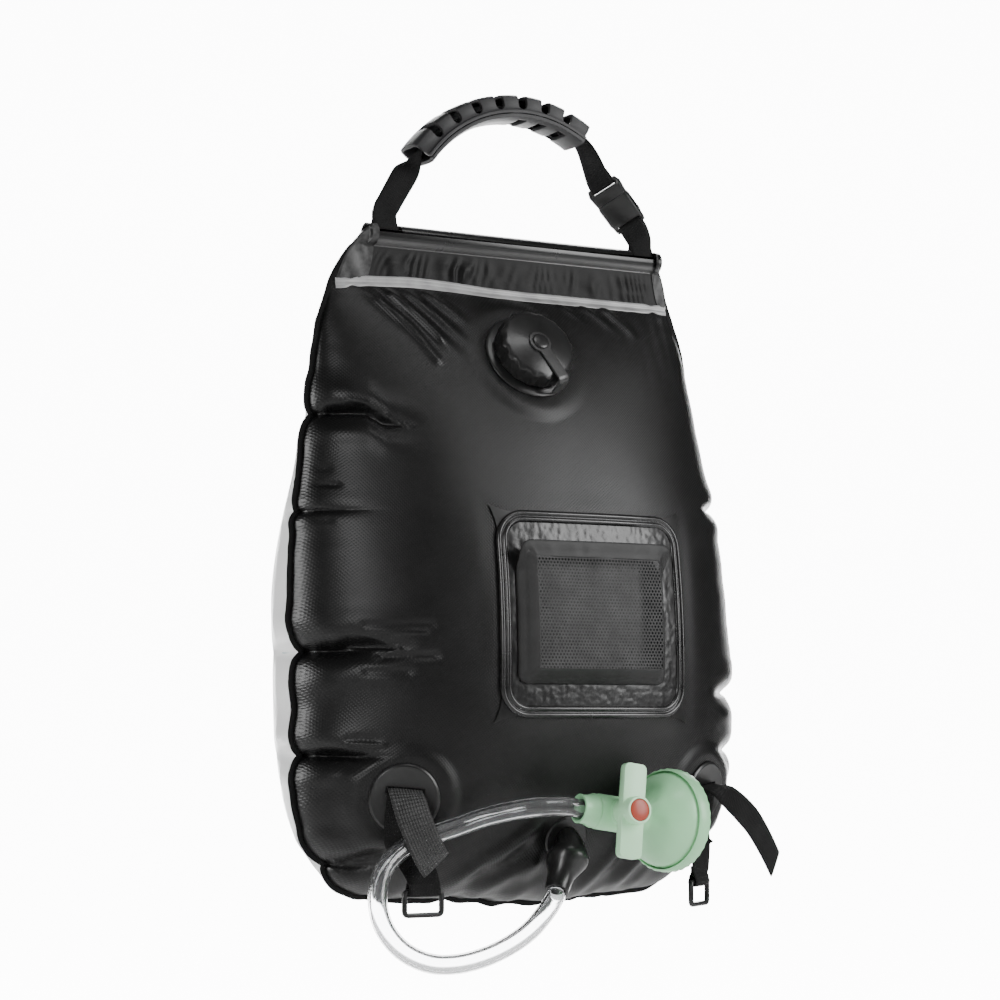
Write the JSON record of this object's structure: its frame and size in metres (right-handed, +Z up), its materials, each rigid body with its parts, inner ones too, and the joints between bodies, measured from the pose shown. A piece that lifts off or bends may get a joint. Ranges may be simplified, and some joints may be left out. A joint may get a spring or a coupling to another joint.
{
  "type": "camp shower bag",
  "caption": "Hanging water bag with a buckled carry handle, filler cap, mesh pocket, tie-down rings, hose and shower head with a shut-off valve.",
  "frame": {"origin": "point under the middle of the grip, where a hook carries the bag", "axes": "+Z up along the hanging bag, -Y towards its black front, +X to the right seen from the front"},
  "size_m": [0.4051, 0.2587, 0.6618],
  "materials": {
    "black_film": "satin",
    "milky_film": "satin",
    "sleeve_film": "satin",
    "water": "gloss",
    "white_plastic": "satin",
    "black_webbing": "matte",
    "grip_rubber": "matte",
    "black_plastic": "satin",
    "clear_vinyl": "gloss",
    "pocket_tape": "matte",
    "net_thread": "matte",
    "clear_hose": "gloss",
    "mint_plastic": "satin",
    "mint_lever": "satin",
    "red_button": "satin",
    "seal_rubber": "matte"
  },
  "bodies": {
    "handle": {"grip_shell": "grip_rubber", "handle_webbing": "black_webbing", "webbing_tab": "black_webbing", "buckle_female": "black_plastic", "buckle_male": "black_plastic"},
    "prong_front": {"buckle_prong_front": "black_plastic"},
    "prong_rear": {"buckle_prong_rear": "black_plastic"},
    "cap_carrier": {"cap_tether": "black_plastic"},
    "cap": {"fill_cap": "black_plastic", "cap_gasket": "seal_rubber"},
    "valve": {"valve_lever": "mint_lever", "lever_button": "red_button", "valve_plug": "white_plastic"},
    "ring_left": {"anchor_ring_left": "black_plastic"},
    "ring_right": {"anchor_ring_right": "black_plastic"},
    "bag": {"front_panel": "black_film", "back_panel": "milky_film", "water_fill": "water", "rod_sleeve": "sleeve_film", "hanging_rod": "white_plastic", "fill_port": "black_plastic", "pocket_sheet": "clear_vinyl", "pocket_frame": "clear_vinyl", "pocket_tape": "pocket_tape", "pocket_mesh": "net_thread", "anchor_patch_left": "black_plastic", "anchor_patch_right": "black_plastic", "ring_webbing_left": "black_webbing", "ring_webbing_right": "black_webbing", "hose_strap_left": "black_webbing", "hose_strap_right": "black_webbing", "outlet_flange": "black_plastic", "outlet_boot": "black_plastic", "hose": "clear_hose", "hose_collar": "mint_plastic", "valve_body": "mint_plastic", "plug_seal": "seal_rubber", "head_shell": "mint_plastic", "spray_plate": "mint_plastic", "head_ring": "mint_plastic"}
  },
  "joints": [
    {"name": "bag_swing", "type": "hinge", "parent": "handle", "child": "bag", "pos_m": [0, 0, -0.0985], "axis": [1, 0, 0], "range_deg": [-40, 40]},
    {"name": "prong_front_bend", "type": "hinge", "parent": "handle", "child": "prong_front", "pos_m": [0.09007, -0.00628, -0.04405], "axis": [0.5602, 0.6428, 0.5224], "range_deg": [0, 10], "stiffness_Nm_per_rad": 0.4},
    {"name": "prong_rear_bend", "type": "hinge", "parent": "handle", "child": "prong_rear", "pos_m": [0.08236, 0.00628, -0.05124], "axis": [-0.5602, -0.6428, -0.5224], "range_deg": [0, 10], "stiffness_Nm_per_rad": 0.4},
    {"name": "cap_lift", "type": "slide", "parent": "bag", "child": "cap_carrier", "axis": [-0.0056, -0.8884, 0.459], "range_m": [0, 0.0061]},
    {"name": "cap_turn", "type": "hinge", "parent": "cap_carrier", "child": "cap", "pos_m": [-0.014, -0.04202, -0.1895], "axis": [-0.0056, -0.8884, 0.459], "range_deg": [0, 540]},
    {"name": "valve_turn", "type": "hinge", "parent": "bag", "child": "valve", "pos_m": [0.0068, -0.12637, -0.5305], "axis": [0.0165, -0.994, 0.1083], "range_deg": [0, 90]},
    {"name": "ring_left_swing", "type": "hinge", "parent": "bag", "child": "ring_left", "pos_m": [-0.119, -0.07193, -0.585], "axis": [1, 0, 0], "range_deg": [-90, 20]},
    {"name": "ring_right_swing", "type": "hinge", "parent": "bag", "child": "ring_right", "pos_m": [0.119, -0.07193, -0.585], "axis": [0.848, 0.5299, 0], "range_deg": [-90, 20]}
  ],
  "couplings": [
    {"joint": "cap_lift", "follows": "cap_turn", "m_per_rad": 0.00063662}
  ]
}
